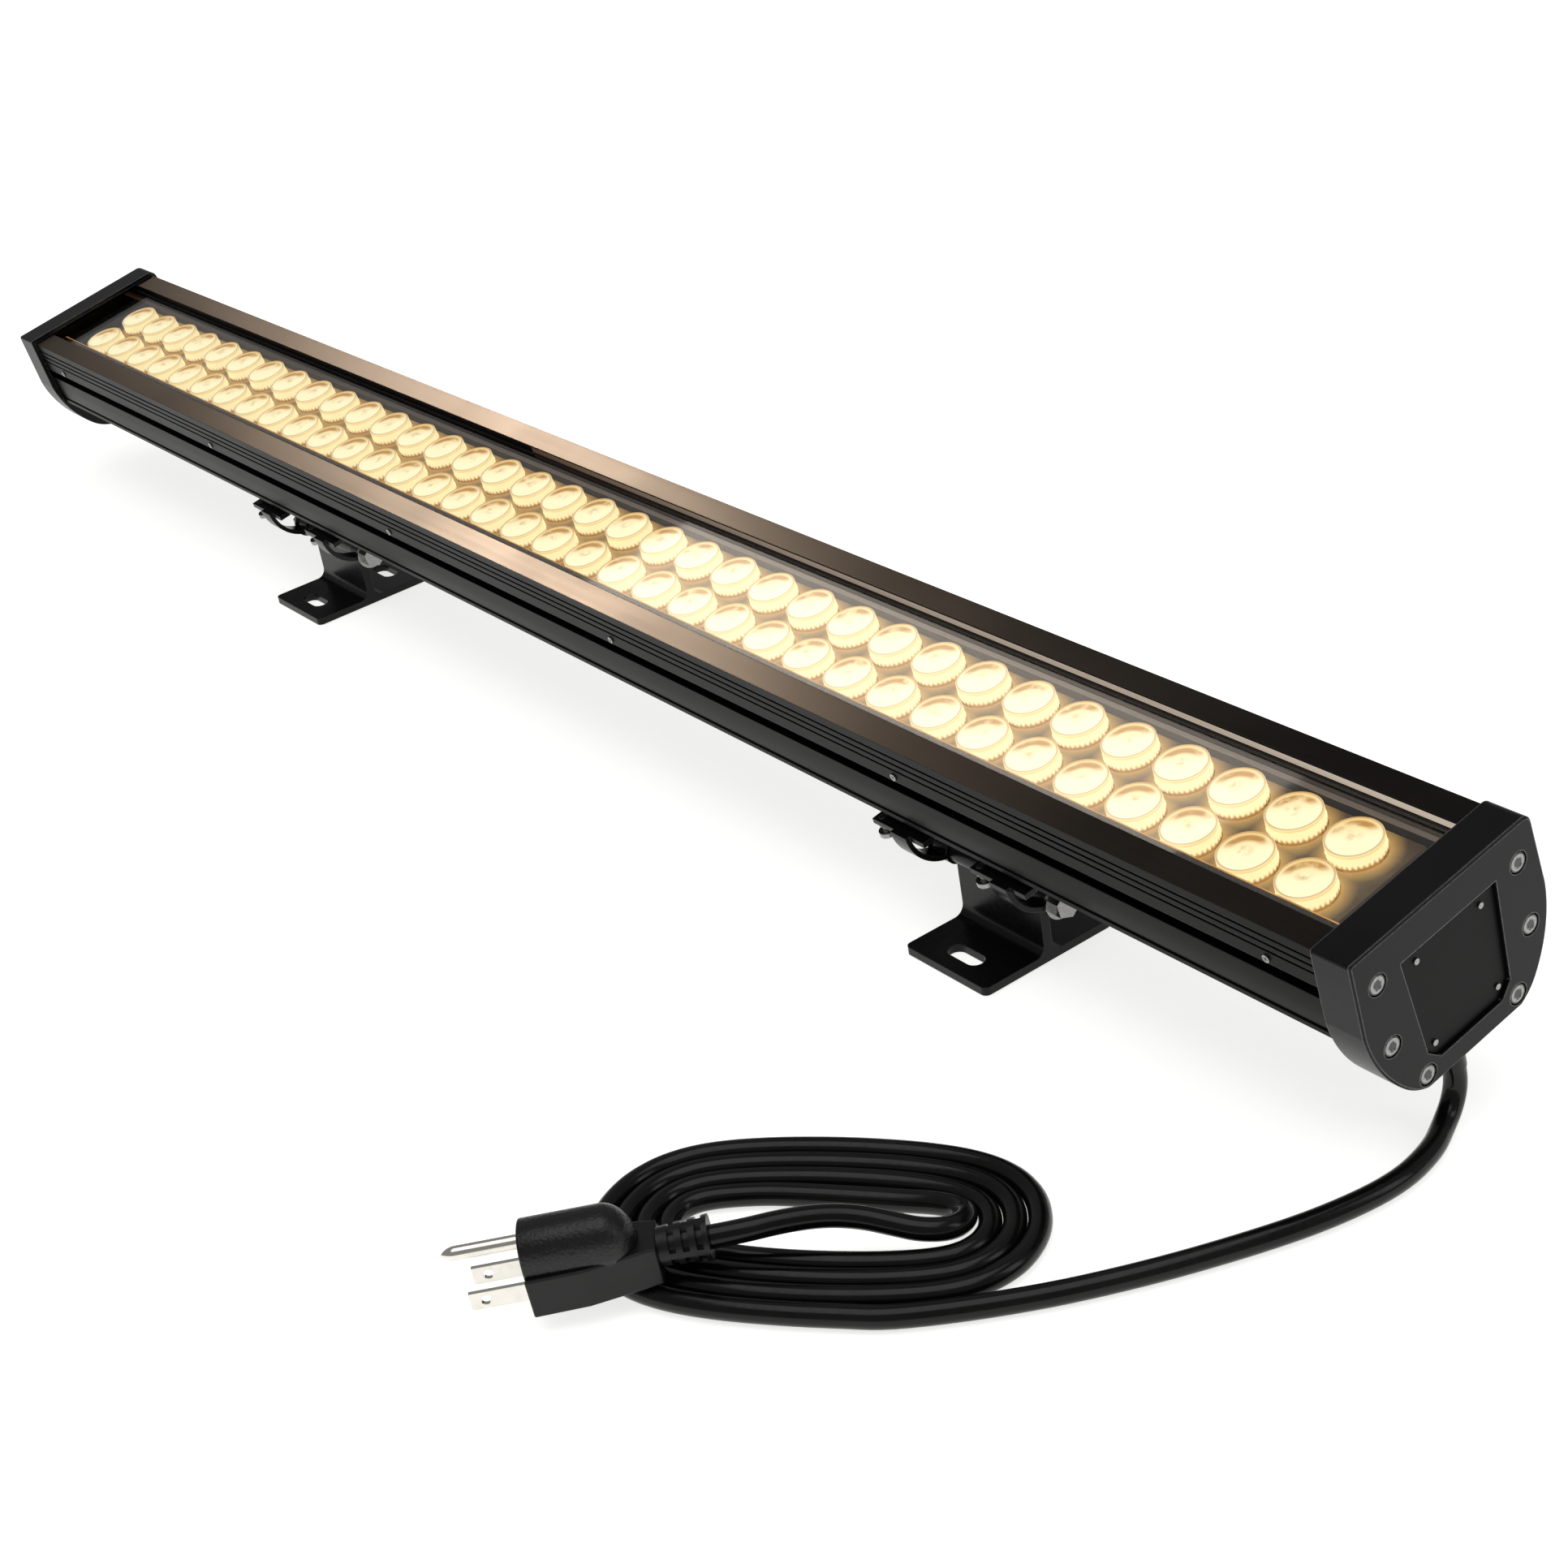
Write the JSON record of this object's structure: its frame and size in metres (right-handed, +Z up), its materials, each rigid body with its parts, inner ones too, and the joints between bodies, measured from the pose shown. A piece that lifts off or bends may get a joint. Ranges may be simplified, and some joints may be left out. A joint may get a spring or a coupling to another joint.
{
  "type": "wall washer light",
  "caption": "Long outdoor wall washer lamp with rows of collimator lenses under glass, on hinged slotted feet that clamp in rails, with a coiled mains lead and plug.",
  "frame": {"origin": "on the floor under the middle of the lamp's box, the lead left out", "axes": "+X along the bar towards the lead's end, +Y to the back, away from the coil, +Z up"},
  "size_m": [1.0067, 0.318, 0.1032],
  "materials": {
    "housing_black": "black anodised, semi gloss",
    "cap_black": "satin black powder coat on die cast metal",
    "bracket_black": "semi gloss black coat",
    "cover_glass": "clear float glass, black printed border",
    "seal_black": "matt black silicone",
    "lens_clear": "clear moulded acrylic, lit from below",
    "plate_amber": "matt reflecting plate",
    "board_white": "white solder mask",
    "chip_yellow": "phosphor chip",
    "screw_steel": "stainless steel",
    "driver_green": "green board",
    "driver_dark": "moulded components",
    "terminal_grey": "grey polyamide",
    "wire_red": "PVC insulation",
    "cord_black": "glossy black PVC sheath",
    "plug_black": "black PVC, fine texture",
    "prong_nickel": "nickel plated brass"
  },
  "bodies": {
    "lamp": {"blank_plate_left": "cap_black", "blank_plate_right": "cap_black", "cap_screws_left": "screw_steel", "cap_screws_right": "screw_steel", "cord_coil": "cord_black", "cord_gland": "cord_black", "cord_lead": "cord_black", "cord_relief": "cord_black", "cord_tail": "cord_black", "driver_board": "driver_green", "driver_parts": "driver_dark", "end_cap_left": "cap_black", "end_cap_right": "cap_black", "end_gasket_left": "seal_black", "end_gasket_right": "seal_black", "glass_cover": "cover_glass", "glass_seal": "seal_black", "hinge_clips_left": "bracket_black", "hinge_clips_right": "bracket_black", "housing_profile": "housing_black", "lead_core": "cord_black", "led_board": "board_white", "led_chips": "chip_yellow", "lens_plate": "plate_amber", "lenses_back": "lens_clear", "lenses_front": "lens_clear", "pivot_bolt_left": "screw_steel", "pivot_bolt_right": "screw_steel", "pivot_nut_left": "screw_steel", "pivot_nut_right": "screw_steel", "pivot_washers_left": "screw_steel", "pivot_washers_right": "screw_steel", "plate_rivets_left": "screw_steel", "plate_rivets_right": "screw_steel", "plug_blades": "prong_nickel", "plug_body": "plug_black", "plug_ground_pin": "prong_nickel", "plug_relief": "plug_black", "side_screws": "screw_steel", "terminal_block": "terminal_grey", "terminal_wires": "wire_red", "thumb_screws_left": "screw_steel", "thumb_screws_right": "screw_steel"},
    "foot_right": {"foot_right": "bracket_black"},
    "foot_left": {"foot_left": "bracket_black"}
  },
  "joints": [
    {"name": "right_foot_hinge", "type": "hinge", "parent": "lamp", "child": "foot_right", "pos_m": [0.298, -0.01367, 0.03], "axis": [1, 0, 0], "range_deg": [-60, 40]},
    {"name": "left_foot_hinge", "type": "hinge", "parent": "lamp", "child": "foot_left", "pos_m": [-0.206, -0.01367, 0.03], "axis": [1, 0, 0], "range_deg": [-60, 40]}
  ],
  "couplings": [
    {"joint": "left_foot_hinge", "follows": "right_foot_hinge", "ratio": 1}
  ]
}
